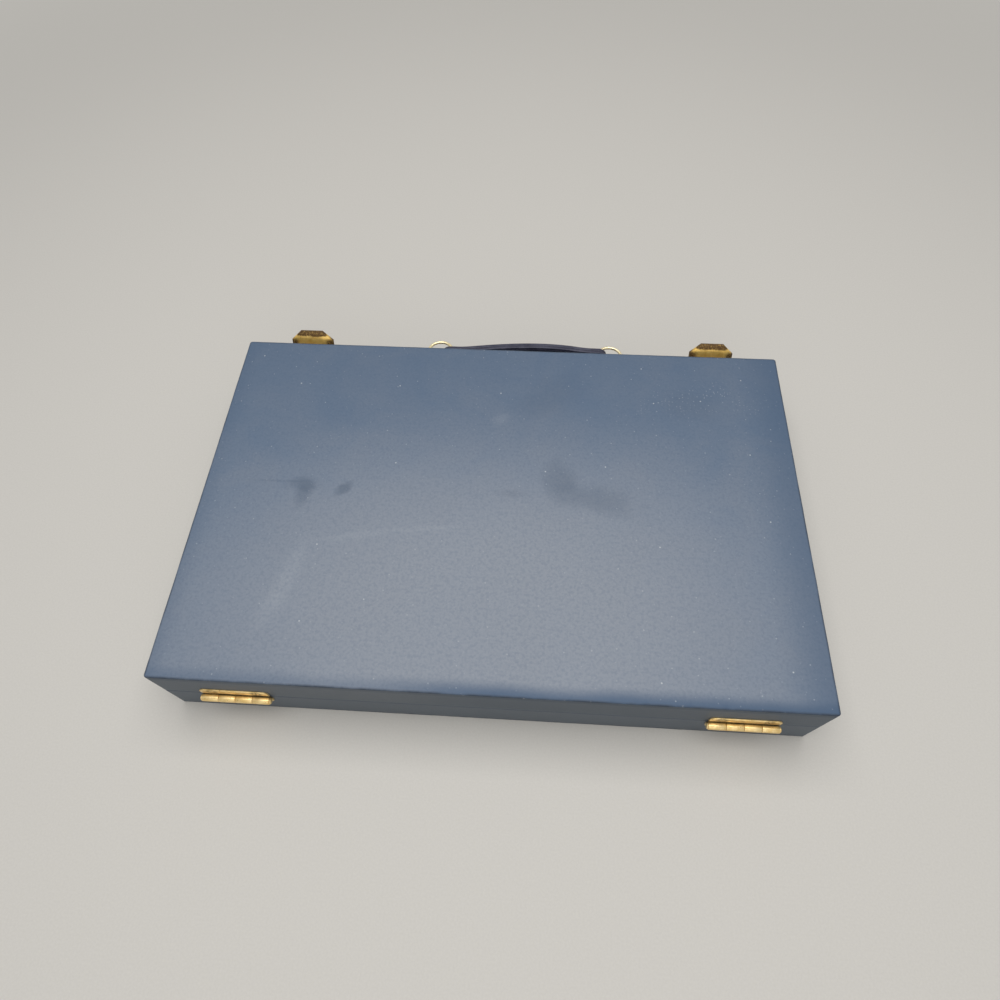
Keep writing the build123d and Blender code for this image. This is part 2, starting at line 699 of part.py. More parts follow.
def strap_ply(wall_side):
    """One ply: half of the strap's thickness, bowed in plan, with rounded ends and eyelet holes."""
    with BuildSketch(Plane.XY.offset(hole_z - strap_width / 2)) as plan:
        with BuildLine() as middle:
            Line((strap_start, hole_y[0]), bow_start)
            Spline(bow_start, between(strap_bow_share, strap_bow_left),
                   between(1 - strap_bow_share, strap_bow_right), bow_finish, tangents=[(1, 0), (1, 0)])
            Line(bow_finish, (strap_finish, hole_y[1]))
        trace(line_width=2 * ply_thick)
        with BuildLine():
            add(middle.line)
            Polyline((strap_finish, hole_y[1]), (strap_finish, back_wall), (strap_start, back_wall),
                     (strap_start, hole_y[0]))
        make_face(mode=Mode.INTERSECT if wall_side else Mode.SUBTRACT)
    extrude(plan.sketch, amount=strap_width)
    strap_reach = max(hole_y) - back_wall + max(strap_bow_left, strap_bow_right) + 2 * ply_thick
    wall_plane = Plane(origin=(strap_middle, back_wall, hole_z), x_dir=(1, 0, 0), z_dir=(0, -1, 0))
    with BuildSketch(wall_plane) as outline:
        SlotOverall(strap_finish - strap_start, strap_width)
    extrude(outline.sketch, amount=-strap_reach, mode=Mode.INTERSECT)
    with BuildSketch(wall_plane) as holes:
        with Locations(*[(x - strap_middle, 0) for x in hole_x]):
            Circle(eyelet_bore + eyelet_wall)
    extrude(holes.sketch, amount=-strap_reach, mode=Mode.SUBTRACT)


for name in ("inner", "outer"):
    with BuildPart() as ply:
        strap_ply(name == "inner")
    ply.part.label = f"handle_strap_{name}"
    export_step(ply.part, f"parts/handle_strap_{name}.step")

with BuildPart() as eyelets:
    for x, y in zip(hole_x, hole_y):
        eyelet_plane = Plane(origin=(x, y - ply_thick, hole_z), x_dir=(-1, 0, 0), z_dir=(0, 1, 0))
        with BuildSketch(eyelet_plane):
            Circle(eyelet_bore + eyelet_wall)
        extrude(amount=2 * ply_thick)
        for start in (-eyelet_flange_thick, 2 * ply_thick):
            with BuildSketch(eyelet_plane.offset(start)):
                Circle(eyelet_bore + eyelet_flange)
            extrude(amount=eyelet_flange_thick)
        with BuildSketch(eyelet_plane.offset(-ply_thick)):
            Circle(eyelet_bore)
        extrude(amount=4 * ply_thick, mode=Mode.SUBTRACT)
eyelets.part.label = "handle_eyelets"
export_step(eyelets.part, "parts/handle_eyelets.step")
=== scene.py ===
import math

import bmesh
import bpy
from mathutils import Matrix, Vector, noise
from mathutils.bvhtree import BVHTree


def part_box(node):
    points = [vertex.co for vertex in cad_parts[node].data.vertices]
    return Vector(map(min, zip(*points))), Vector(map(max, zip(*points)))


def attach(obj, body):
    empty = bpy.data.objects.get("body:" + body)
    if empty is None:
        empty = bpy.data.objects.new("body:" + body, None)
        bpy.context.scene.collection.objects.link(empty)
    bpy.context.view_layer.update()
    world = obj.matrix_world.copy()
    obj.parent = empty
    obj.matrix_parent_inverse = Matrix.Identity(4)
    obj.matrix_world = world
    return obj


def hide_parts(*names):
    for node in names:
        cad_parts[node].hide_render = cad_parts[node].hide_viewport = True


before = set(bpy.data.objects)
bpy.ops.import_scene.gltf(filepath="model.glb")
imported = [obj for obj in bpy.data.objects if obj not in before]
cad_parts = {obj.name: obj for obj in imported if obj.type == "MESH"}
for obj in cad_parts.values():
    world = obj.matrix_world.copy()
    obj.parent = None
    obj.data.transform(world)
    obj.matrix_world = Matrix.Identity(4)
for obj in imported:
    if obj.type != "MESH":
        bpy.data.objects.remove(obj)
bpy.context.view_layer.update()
MM = 0.001

# Sizes read from the frame
top_low, top_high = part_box("lid_outer_sheet")
wrap_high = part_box("base_side_wrap")[1]
board_low, board_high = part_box("base_playing_board")
half_width = top_high.x
half_depth = top_high.y
case_height = top_high.z
sheet_thick = top_high.z - top_low.z
rim_height = wrap_high.z
wall_and_covers = half_width - board_high.x
panel_top = board_low.z
CORNER_RADIUS = 2.0 * MM


# Shader nodes

class Finish:
    """A procedural material, with short calls for the shader nodes that it is built from."""

    def __init__(self, name, **constants):
        self.material = bpy.data.materials.new(name)
        self.material.use_nodes = True
        self.tree = self.material.node_tree
        self.shader = self.tree.nodes["Principled BSDF"]
        self.place = self.node("TexCoord").outputs["Object"]
        for socket, value in constants.items():
            label = socket.replace("_", " ").title().replace("Ior", "IOR")
            self.put(self.shader.inputs[label], value)

    def put(self, socket, value):
        """Links a socket to another node's output, or sets its number, vector or colour."""
        if isinstance(value, bpy.types.NodeSocket):
            self.tree.links.new(value, socket)
            return
        takes_alpha = hasattr(socket.default_value, "__len__") and len(socket.default_value) == 4
        socket.default_value = (*value, 1) if takes_alpha and len(value) == 3 else value

    def node(self, kind, inputs=None, **settings):
        made = self.tree.nodes.new("ShaderNode" + kind)
        for key, value in settings.items():
            setattr(made, key, value)
        for socket, value in (inputs or {}).items():
            self.put(made.inputs[socket], value)
        return made

    # Patterns

    def noise(self, size, detail=3, roughness=0.5, distortion=0.0, at=None):
        """Soft random grey, with features of about this size in metres."""
        inputs = {"Vector": at or self.place, "Scale": 1 / size, "Detail": detail,
                  "Roughness": roughness, "Distortion": distortion}
        return self.node("TexNoise", inputs).outputs["Fac"]

    def cells(self, size, feature="F1", space="3D"):
        return self.node("TexVoronoi", {"Vector": self.place, "Scale": 1 / size},
                         feature=feature, voronoi_dimensions=space)

    def streaked(self, along_x):
        """The place, scaled along X by less than 1, so that a pattern runs in streaks."""
        inputs = {"Vector": self.place, "Scale": (along_x, 1, 1)}
        return self.node("Mapping", inputs).outputs[0]

    def axis(self, name):
        return self.node("SeparateXYZ", {0: self.place}).outputs[name]

    # Sums of two values, each a number or a socket

    def math(self, operation, first, second=0.0):
        return self.node("Math", {0: first, 1: second}, operation=operation).outputs[0]

    def plus(self, first, second):
        return self.math("ADD", first, second)

    def minus(self, first, second):
        return self.math("SUBTRACT", first, second)

    def times(self, first, *others):
        for other in others:
            first = self.math("MULTIPLY", first, other)
        return first

    def away(self, value, centre=0.0):
        """How far a value is from a centre, on either side."""
        return self.math("ABSOLUTE", self.minus(value, centre) if centre else value)

    def ramp(self, value, start, end, ease="LINEAR"):
        """From 0 at start to 1 at end, and level beyond; end may be the lower of the two."""
        inputs = {"Value": value, "From Min": start, "From Max": end}
        return self.node("MapRange", inputs, interpolation_type=ease).outputs["Result"]

    def soft_ramp(self, value, start, end):
        return self.ramp(value, start, end, "SMOOTHSTEP")

    def between(self, value, low, high):
        """From low to high, as the value goes from 0 to 1."""
        return self.node("MapRange", {"Value": value, "To Min": low, "To Max": high}).outputs["Result"]

    def blend(self, first, second, share):
        """A share of the first value and the rest of the second."""
        return self.plus(self.times(first, share), self.times(second, round(1 - share, 2)))

    # Colours and surfaces

    def mix(self, factor, first, second):
        made = self.node("Mix", data_type="RGBA")
        for index, value in ((0, factor), (6, first), (7, second)):
            self.put(made.inputs[index], value)
        return made.outputs[2]

    def layer(self, under, over, *masks):
        """A colour laid over another, by the product of its masks."""
        return self.mix(self.times(*masks), under, over)

    def bump(self, height, depth, strength=1.0, normal=None):
        inputs = {"Height": height, "Distance": depth, "Strength": strength}
        if normal:
            inputs["Normal"] = normal
        return self.node("Bump", inputs).outputs[0]

    def spot(self, x, y, half_length, half_wide, turn, ragged=0.5):
        """A soft blot on the case's top: 1 in its middle and 0 outside, with a ragged edge."""
        inputs = {"Vector": self.place, "Location": (x * MM, y * MM, 0),
                  "Rotation": (0, 0, math.radians(turn)),
                  "Scale": (half_length * MM, half_wide * MM, 1)}
        local = self.node("Mapping", inputs, vector_type="TEXTURE").outputs[0]
        flat = self.node("VectorMath", {0: local, 1: (1, 1, 0)}, operation="MULTIPLY").outputs[0]
        reach = self.node("VectorMath", {0: flat}, operation="LENGTH").outputs["Value"]
        uneven = self.times(self.minus(self.noise(half_wide * MM), 0.5), 2 * ragged)
        return self.soft_ramp(self.plus(reach, uneven), 1.0, 0.25)

    def specks(self, size, share, radius, space="3D"):
        """Small round specks, one in a share of the cells of this size; 2D ones run down along Z."""
        grid = self.cells(size, space=space)
        chosen = self.node("SeparateColor", {0: grid.outputs["Color"]}).outputs[0]
        dot = self.ramp(grid.outputs["Distance"], radius / size, 0.4 * radius / size)
        return self.times(dot, self.math("GREATER_THAN", chosen, 1 - share))

    def paint(self, colour, rough=None, normal=None):
        self.put(self.shader.inputs["Base Color"], colour)
        if rough is not None:
            self.put(self.shader.inputs["Roughness"], rough)
        if normal:
            self.put(self.shader.inputs["Normal"], normal)
        return self.material


# Leatherette: its colours, and then the marks on the top

SLATE = (0.112, 0.158, 0.230)
SLATE_FADED = (0.146, 0.184, 0.245)
SLATE_DEEP = (0.048, 0.090, 0.160)
# Paler slate for the top's front: faded cover, with a painted sheen of the light on it
SLATE_FADE_AND_SHEEN = (0.268, 0.290, 0.328)
# Painted shade for the walls, darker and greyer than the faces
WALL_SHADE = (0.080, 0.092, 0.100)
GRIME = (0.032, 0.060, 0.106)
# Painted shade for the dark outline along the rounded edges
EDGE_SHADE = (0.022, 0.034, 0.055)
DUST = (0.62, 0.64, 0.65)

# Each blot: x, y, half its length and width in millimetres, its turn in degrees, its strength
TOP_STAINS = (
    (-124.5, -3.5, 8.0, 14.0, 0.0, 0.30),
    (-126.5, 4.0, 16.0, 7.5, 0.0, 0.30),
    (-140.0, 6.0, 30.0, 1.3, 1.0, 0.16),
    (-99.6, 2.0, 10.0, 5.0, 52.0, 0.44),
    (40.0, 12.0, 17.0, 22.0, 0.0, 0.28),
    (64.0, 1.0, 38.0, 15.0, -14.0, 0.26),
    (8.0, 4.0, 14.0, 4.0, 0.0, 0.16),
    (31.0, 84.0, 34.0, 20.0, 30.0, 0.12),
    (126.0, 80.0, 34.0, 16.0, -10.0, 0.12),
)
TOP_RUBS = (
    (-121.5, -56.0, 30.0, 9.0, 76.0, 0.06),
    (-129.0, -80.0, 20.0, 9.0, 64.0, 0.05),
    (-86.0, -31.0, 34.0, 4.0, 12.0, 0.05),
    (-42.0, -24.0, 30.0, 3.0, 5.0, 0.05),
    (-2.0, 62.0, 9.0, 6.0, 30.0, 0.05),
)
# The top's paler front, partly faded cover and partly painted sheen: x, y, half its length and width in
# millimetres, its turn in degrees; then its strength
TOP_FADE_AND_SHEEN = (5.0, -92.0, 270.0, 175.0, 0.0)
FADE_AND_SHEEN_STRENGTH = 0.80
DUST_PATCH = (130.0, 86.0, 42.0, 20.0, 0.0)
DUST_STRENGTH = 0.22

# Each kind of speck: the size of its cells, the share of them in use, its radius, its strength
TOP_SPECKS = ((34.0, 0.30, 0.60, 0.75), (15.0, 0.30, 0.55, 0.30), (6.0, 0.30, 0.50, 0.12))

# Each fine cloud: its size, the noise at which it starts and is full, its strength
FINE_CLOUDS = ((1.6, 0.40, 0.75, 0.22), (3.2, 0.48, 0.62, 0.10))

# Painted shade: the darker band along the front edge, where the padded face turns from the light, weaker
# at the left
BAND_WAVER = 6 * MM
BAND_WEAKEST = 0.45
BAND_GAIN = 0.50

# Strengths of the painted shade on the walls and along the edges, and of the wear on the edges
WALL_SHADE_STRENGTH = 0.75
EDGE_WEAKEST = 0.25
EDGE_GAIN = 0.65
EDGE_WEAR = 0.4


def pebble_grain(finish, size, depth):
    """The pressed grain of leatherette: small soft pebbles with fine pores."""
    pebbles = finish.cells(size, "SMOOTH_F1").outputs["Distance"]
    pores = finish.noise(size / 3, 2)
    height = finish.plus(pebbles, finish.times(pores, 0.35))
    return finish.bump(height, depth, 0.6), pebbles


def top_wear_and_painted_light(finish, colour):
    """The top's colour: paler at the front, as faded cover and as a painted sheen, with painted shade
    toward its edges and along the front edge, then stained and dusty.
    """
    along_x = finish.axis("X")
    along_y = finish.axis("Y")
    # Faded cover and painted sheen: the front of the top made paler
    colour = finish.layer(colour, SLATE_FADE_AND_SHEEN, finish.spot(*TOP_FADE_AND_SHEEN, 0.2), FADE_AND_SHEEN_STRENGTH)
    # Painted shade: darker toward the back, the right and the left of the top, where less light falls
    for edge_value, start, end, strength in (
            (along_y, -10 * MM, half_depth, 0.36),
            (along_x, half_width - 34 * MM, half_width - 2 * MM, 0.50),
            (along_x, 14 * MM - half_width, 1 * MM - half_width, 0.22)):
        shade = finish.soft_ramp(edge_value, start, end)
        colour = finish.layer(colour, SLATE_DEEP, shade, strength)
    # Painted shade along the front edge, wavering, and stronger to the right
    waver = finish.times(finish.noise(60 * MM, 2), BAND_WAVER)
    from_front = finish.plus(finish.plus(along_y, half_depth), waver)
    band = finish.soft_ramp(finish.minus(from_front, BAND_WAVER), 7 * MM, -2 * MM)
    to_right = finish.soft_ramp(along_x, -70 * MM, 0.0)
    strength = finish.plus(BAND_WEAKEST, finish.times(to_right, BAND_GAIN))
    colour = finish.layer(colour, SLATE_DEEP, band, strength)
    for *blot, strength in TOP_STAINS:
        colour = finish.layer(colour, GRIME, finish.spot(*blot), strength)
    for *blot, strength in TOP_RUBS:
        colour = finish.layer(colour, DUST, finish.spot(*blot, 0.3), strength)
    dust = finish.specks(2.4 * MM, 0.3, 0.55 * MM, "2D")
    colour = finish.layer(colour, DUST, dust, finish.spot(*DUST_PATCH, 1.2), DUST_STRENGTH)
    on_top = finish.ramp(finish.axis("Z"), case_height - 2.0 * MM, case_height - 1.0 * MM)
    for size, share, radius, strength in TOP_SPECKS:
        specks = finish.specks(size * MM, share, radius * MM, "2D")
        colour = finish.layer(colour, DUST, specks, on_top, strength)
    return colour


def leatherette(name, is_lid):
    """Matte slate-blue leatherette with painted shade: darker and greyer on the walls, and a dark outline
    along the rounded edges, which are also worn; worn on the lid's top.
    """
    finish = Finish(name, specular_ior_level=0.45)
    normal, _ = pebble_grain(finish, 0.75 * MM, 0.05 * MM)
    mottle = finish.noise(45 * MM, 4, 0.6, 0.6)
    colour = finish.mix(finish.ramp(mottle, 0.35, 0.68), SLATE, SLATE_FADED)
    if is_lid:
        colour = top_wear_and_painted_light(finish, colour)
    for size, start, end, strength in FINE_CLOUDS:
        cloud = finish.ramp(finish.noise(size * MM, 3, 0.6), start, end)
        colour = finish.layer(colour, SLATE_DEEP, cloud, strength)

    side_x = finish.minus(half_width, finish.away(finish.axis("X")))
    side_y = finish.minus(half_depth, finish.away(finish.axis("Y")))
    from_side = finish.math("MINIMUM", side_x, side_y)
    height = finish.axis("Z")
    from_face = finish.minus(case_height, height) if is_lid else height
    # Painted shade: the walls darker and greyer than the faces
    on_wall = finish.times(finish.ramp(from_side, 0.6 * MM, 0.25 * MM),
                           finish.ramp(from_face, 0.5 * MM, 1.0 * MM))
    colour = finish.layer(colour, WALL_SHADE, on_wall, WALL_SHADE_STRENGTH)
    # Painted shade: a patchy dark outline along the rounded edges; the same edges are then worn paler in
    # flecks
    at_edge = finish.times(finish.ramp(from_side, 1.6 * MM, 0.5 * MM),
                           finish.ramp(from_face, 2.0 * MM, 0.9 * MM))
    outline_patches = finish.ramp(finish.noise(16 * MM, 4, 0.7), 0.35, 0.60)
    strength = finish.plus(EDGE_WEAKEST, finish.times(outline_patches, EDGE_GAIN))
    colour = finish.layer(colour, EDGE_SHADE, at_edge, strength)
    worn = finish.ramp(finish.noise(5 * MM, 5, 0.7), 0.64, 0.72)
    colour = finish.layer(colour, DUST, at_edge, worn, EDGE_WEAR)

    waves = finish.bump(finish.noise(28 * MM, 2), 0.5 * MM, 0.35, normal)
    return finish.paint(colour, finish.between(mottle, 0.50, 0.66), waves)


# Brass: each a bright and a duller colour, and brown where it is tarnished and where shade is painted

BRASS_YELLOW = ((0.95, 0.74, 0.38), (0.80, 0.56, 0.22))
BRASS_GOLD = ((1.0, 0.70, 0.22), (0.88, 0.56, 0.14))
BRASS_PALE = ((0.95, 0.86, 0.62), (0.86, 0.72, 0.42))
BRASS_BROWN = (0.10, 0.055, 0.02)
STAINED_ROUGHNESS = 0.62


def brass(name, tarnish, gloss, metal, shades=BRASS_YELLOW, darkening=None):
    """Brass under a dull film, brown in patches, and brown where a function tells it, which for the hinges
    and hasps includes painted shadow and dark reflection.
    """
    finish = Finish(name, metallic=metal)
    patches = finish.noise(5 * MM, 5, 0.65, 0.8)
    cloud = finish.noise(1.4 * MM, 3, 0.6)
    both = finish.blend(patches, cloud, 0.7)
    colour = finish.mix(finish.ramp(both, 0.40, 0.60), *shades)
    stain_and_shade = finish.soft_ramp(both, 0.68 - 0.22 * tarnish, 0.82 - 0.22 * tarnish)
    pits = finish.specks(1.5 * MM, 0.15 + 0.3 * tarnish, 0.35 * MM)
    stain_and_shade = finish.math("MAXIMUM", stain_and_shade, finish.times(pits, 0.6))
    # Tarnish and painted shade from the given function, made patchy
    if darkening:
        speckled = finish.ramp(finish.noise(1.1 * MM, 4, 0.7), 0.30, 0.62)
        uneven = finish.plus(0.5, finish.times(speckled, 0.5))
        stain_and_shade = finish.math("MAXIMUM", stain_and_shade, finish.times(darkening(finish), uneven))
    colour = finish.mix(stain_and_shade, colour, BRASS_BROWN)
    scratches = finish.noise(0.5 * MM, 2, at=finish.streaked(0.08))
    relief = finish.plus(scratches, finish.times(cloud, 0.6))
    return finish.paint(colour, finish.between(stain_and_shade, gloss, STAINED_ROUGHNESS),
                        finish.bump(relief, 0.015 * MM, 0.6))


leaf_low, leaf_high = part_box("hinge_right_lid_leaf")
base_leaf_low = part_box("hinge_right_base_leaf")[0]
hinge_x = (leaf_low.x + leaf_high.x) / 2
hinge_z = (leaf_high.z + base_leaf_low.z) / 2
screws_low, screws_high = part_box("lid_hinge_screws")
hinge_screw_z = (screws_low.z + screws_high.z) / 2 - hinge_z
hinge_screw_radius = (screws_high.z - screws_low.z) / 2
hinge_screw_x = screws_high.x - hinge_screw_radius - hinge_x
hasp_low, hasp_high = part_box("clasp_right_hasp")


def hinge_darkening(finish):
    """Where the hinges are darkened: round the sunk screws, and a painted shadow in the crease beside the
    knuckles.
    """
    from_middle = finish.minus(finish.away(finish.axis("X")), hinge_x)
    from_screw = finish.minus(finish.away(from_middle), hinge_screw_x)
    from_axis = finish.away(finish.axis("Z"), hinge_z)
    up = finish.minus(from_axis, hinge_screw_z)
    squares = finish.plus(finish.times(from_screw, from_screw), finish.times(up, up))
    reach = finish.math("SQRT", squares)
    round_screws = finish.times(finish.soft_ramp(reach, 4.6 * MM, 2.0 * MM), 0.75)
    on_plate = finish.ramp(finish.axis("Y"), -half_depth - 1.6 * MM, -half_depth - 1.0 * MM)
    # Painted shadow where the knuckles meet the plates
    crease = finish.times(finish.soft_ramp(from_axis, 3.4 * MM, 2.4 * MM), on_plate)
    return finish.math("MAXIMUM", round_screws, crease)


def hasp_tarnish_and_reflection(finish):
    """Where the raised hasps are brown, on the bevel at the tip and out at the corners: tarnish, with a
    painted dark reflection on it.
    """
    from_middle = finish.minus(finish.away(finish.axis("X")), (hasp_low.x + hasp_high.x) / 2)
    wave = finish.times(finish.noise(4 * MM, 3), 2.0 * MM)
    height = finish.plus(finish.axis("Z"), wave)
    # Tarnish and painted dark reflection on the tip's bevel and at the low corners
    tip = finish.soft_ramp(height, hasp_high.z - 2.4 * MM, hasp_high.z - 1.0 * MM)
    low_corner = finish.times(finish.soft_ramp(finish.away(from_middle), 8.5 * MM, 12.5 * MM),
                              finish.soft_ramp(height, hasp_high.z - 2.8 * MM, hasp_high.z - 5.0 * MM))
    return finish.math("MAXIMUM", finish.times(tip, 1.25), finish.times(low_corner, 1.15))


# The other finishes

def leather(name, dark, light, size=0.9 * MM):
    finish = Finish(name, specular_ior_level=0.5)
    normal, pebbles = pebble_grain(finish, size, 0.08 * MM)
    wear = finish.noise(9 * MM, 4, 0.6)
    colour = finish.mix(finish.ramp(wear, 0.42, 0.72), dark, light)
    colour = finish.layer(colour, dark, finish.ramp(pebbles, 0.55, 0.9), 0.4)
    return finish.paint(colour, finish.between(wear, 0.42, 0.6), normal)


def felt(name, dark, light, size=0.5 * MM):
    """Short matted fibres: a matte cloth with a soft sheen and a fuzzy surface."""
    finish = Finish(name, specular_ior_level=0.2, sheen_weight=0.35, sheen_roughness=0.5)
    fibres = finish.noise(size, 5, 0.7, 1.5)
    both = finish.blend(fibres, finish.noise(3.5 * MM, 3), 0.7)
    colour = finish.mix(finish.ramp(both, 0.35, 0.65), dark, light)
    return finish.paint(colour, 0.92, finish.bump(fibres, 0.15 * MM, 0.8))


def wood(name, dark, light):
    finish = Finish(name, specular_ior_level=0.3)
    grain = finish.noise(2.5 * MM, 4, 0.6, 1.2, at=finish.streaked(0.06))
    rings = finish.noise(9 * MM, 3, 0.5, 0.8, at=finish.streaked(0.03))
    colour = finish.mix(finish.ramp(finish.blend(grain, rings, 0.5), 0.38, 0.62), dark, light)
    return finish.paint(colour, 0.62, finish.bump(grain, 0.05 * MM, 0.6))


def resin(name, dark, light, marbling):
    """Cast resin with drifting marbled veins under a polish that fine scratches have dulled."""
    finish = Finish(name, specular_ior_level=0.5, coat_weight=0.25, coat_roughness=0.12)
    veins = finish.soft_ramp(finish.noise(7 * MM, 6, 0.62, 2.2), 0.46, 0.62)
    colour = finish.layer(dark, light, veins, marbling)
    rub = finish.noise(2.5 * MM, 4, 0.6)
    return finish.paint(colour, finish.between(rub, 0.2, 0.36), finish.bump(rub, 0.02 * MM, 0.4))


def paler(colour, gain):
    return tuple(gain * c + 0.01 for c in colour)


def ink(name, colour):
    finish = Finish(name, specular_ior_level=0.4)
    uneven = finish.noise(0.8 * MM, 3)
    colour = finish.mix(finish.ramp(uneven, 0.4, 0.7), colour, paler(colour, 1.6))
    return finish.paint(colour, 0.5, finish.bump(uneven, 0.02 * MM, 0.5))


def thread(name, colour):
    finish = Finish(name, specular_ior_level=0.3, sheen_weight=0.2)
    inputs = {"Vector": finish.place, "Scale": 1 / (1.2 * MM), "Distortion": 1.0}
    twist = finish.node("TexWave", inputs, bands_direction="DIAGONAL").outputs["Fac"]
    colour = finish.mix(twist, colour, paler(colour, 1.5))
    return finish.paint(colour, 0.7, finish.bump(twist, 0.05 * MM, 0.7))


lid_skin = leatherette("lid_leatherette", True)
base_skin = leatherette("base_leatherette", False)
inner_skin = leather("divider_leatherette", (0.032, 0.052, 0.090), (0.060, 0.085, 0.130))
hinge_brass = brass("hinge_brass", 0.15, 0.40, 0.75, darkening=hinge_darkening)
hasp_brass = brass("hasp_brass", 0.2, 0.32, 0.65, BRASS_GOLD, hasp_tarnish_and_reflection)
clasp_brass = brass("clasp_brass", 0.5, 0.34, 0.8, BRASS_GOLD)
ring_brass = brass("ring_brass", 0.1, 0.36, 0.7, BRASS_PALE)
screw_brass = brass("screw_brass", 0.8, 0.36, 0.85)
strap_leather = leather("strap_leather", (0.028, 0.029, 0.056), (0.072, 0.074, 0.112), 0.7 * MM)
strap_thread = thread("strap_thread", (0.035, 0.034, 0.055))
board_felt = felt("board_felt", (0.22, 0.25, 0.28), (0.34, 0.38, 0.42))
flock = felt("flock", (0.012, 0.020, 0.050), (0.034, 0.050, 0.095), 0.35 * MM)
points_dark = leather("points_dark_inlay", (0.020, 0.036, 0.080), (0.045, 0.065, 0.115), 0.7 * MM)
points_light = leather("points_light_inlay", (0.56, 0.50, 0.38), (0.70, 0.64, 0.52), 0.7 * MM)
rail_wood = wood("rail_wood", (0.50, 0.34, 0.17), (0.64, 0.48, 0.28))
dark_resin = resin("dark_resin", (0.010, 0.018, 0.060), (0.06, 0.09, 0.17), 0.55)
light_resin = resin("light_resin", (0.72, 0.64, 0.47), (0.86, 0.80, 0.68), 0.8)
dice_resin = resin("dice_resin", (0.74, 0.68, 0.54), (0.86, 0.82, 0.72), 0.5)
cup_leather = leather("cup_leather", (0.022, 0.034, 0.070), (0.050, 0.068, 0.110), 0.8 * MM)
pip_ink = ink("pip_ink", (0.012, 0.014, 0.022))
screw_dirt = ink("screw_dirt", (0.05, 0.035, 0.02))
number_ink = ink("number_ink", (0.010, 0.020, 0.070))


# Mesh helpers. A shape is a pair of its vertices and its faces.

def object_of(name, mesh, finish, smooth_angle=40):
    """A mesh as an object at the origin, smooth but for edges sharper than an angle in degrees."""
    made = bpy.data.objects.new(name, mesh)
    bpy.context.scene.collection.objects.link(made)
    bm = bmesh.new()
    bm.from_mesh(mesh)
    bmesh.ops.recalc_face_normals(bm, faces=bm.faces)
    for face in bm.faces:
        face.smooth = True
    for edge in bm.edges:
        is_closed = len(edge.link_faces) == 2
        edge.smooth = is_closed and edge.calc_face_angle() < math.radians(smooth_angle)
    bm.to_mesh(mesh)
    bm.free()
    mesh.materials.clear()
    mesh.materials.append(finish)
    return made


def make_object(name, shape, finish, smooth_angle=40):
    mesh = bpy.data.meshes.new(name)
    vertices, faces = shape
    mesh.from_pydata(vertices, [], faces)
    return object_of(name, mesh, finish, smooth_angle)


def seat_piece(piece, body, nodes):
    """Puts a new piece on its body, in place of the CAD nodes that it stands for."""
    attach(piece, body)
    if nodes:
        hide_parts(*nodes)
    return piece


def softened(node, suffix, width, finish, body):
    """A copy of a CAD node with its sharp edges rounded over, in that node's place."""
    name = f"{node}_{suffix}"
    bm = bmesh.new()
    bm.from_mesh(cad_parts[node].data)
    bmesh.ops.remove_doubles(bm, verts=bm.verts, dist=0.002 * MM)
    bmesh.ops.dissolve_limit(bm, angle_limit=math.radians(0.5), verts=bm.verts, edges=bm.edges)
    sharp = [edge for edge in bm.edges
             if len(edge.link_faces) == 2 and edge.calc_face_angle() > math.radians(28)]
    bmesh.ops.bevel(bm, geom=sharp, offset=width, segments=2, profile=0.5,
                    affect="EDGES", clamp_overlap=True)
    mesh = bpy.data.meshes.new(name)
    bm.to_mesh(mesh)
    bm.free()
    return seat_piece(object_of(name, mesh, finish, 50), body, [node])


def arc_points(centre, radius, start, end, steps):
    """Points of an arc, with angles in degrees, both ends included."""
    angles = [math.radians(start + (end - start) * i / steps) for i in range(steps + 1)]
    return [(centre[0] + radius * math.cos(a), centre[1] + radius * math.sin(a)) for a in angles]


def tube_faces(rings, count):
    """The faces between rings of this many vertices each, with the two ends closed."""
    faces = []
    for ring in range(rings - 1):
        near, far = ring * count, (ring + 1) * count
        for k in range(count):
            after = (k + 1) % count
            faces.append((near + k, near + after, far + after, far + k))
    faces.append(tuple(range(count - 1, -1, -1)))
    faces.append(tuple((rings - 1) * count + k for k in range(count)))
    return faces


def lathe(profile, steps, place):
    """A turned shape: (radius, distance) pairs round an axis, put in place by a matrix."""
    turns = [2 * math.pi * k / steps for k in range(steps)]
    vertices = [place @ Vector((r * math.cos(turn), r * math.sin(turn), z))
                for r, z in profile for turn in turns]
    return vertices, tube_faces(len(profile), steps)


def joined(shapes):
    """Several shapes as one."""
    vertices, faces = [], []
    for more_vertices, more_faces in shapes:
        start = len(vertices)
        vertices += more_vertices
        faces += [tuple(start + i for i in face) for face in more_faces]
    return vertices, faces


def shape_of(bm, place):
    """The shape of a bmesh, put in place by a matrix. It frees the bmesh."""
    vertices = [place @ v.co for v in bm.verts]
    faces = [tuple(v.index for v in face.verts) for face in bm.faces]
    bm.free()
    return vertices, faces


def rounded_box(centre, size, radius):
    bm = bmesh.new()
    bmesh.ops.create_cube(bm, size=size)
    bmesh.ops.bevel(bm, geom=list(bm.edges), offset=radius, segments=3, profile=0.5, affect="EDGES")
    return shape_of(bm, Matrix.Translation(centre))


def ball(centre, radius):
    bm = bmesh.new()
    bmesh.ops.create_uvsphere(bm, u_segments=12, v_segments=8, radius=radius)
    return shape_of(bm, Matrix.Translation(centre))


def evaluated_mesh(piece):
    """The mesh of an object after its modifiers, or of its text."""
    bpy.context.view_layer.update()
    graph = bpy.context.evaluated_depsgraph_get()
    return bpy.data.meshes.new_from_object(piece.evaluated_get(graph))


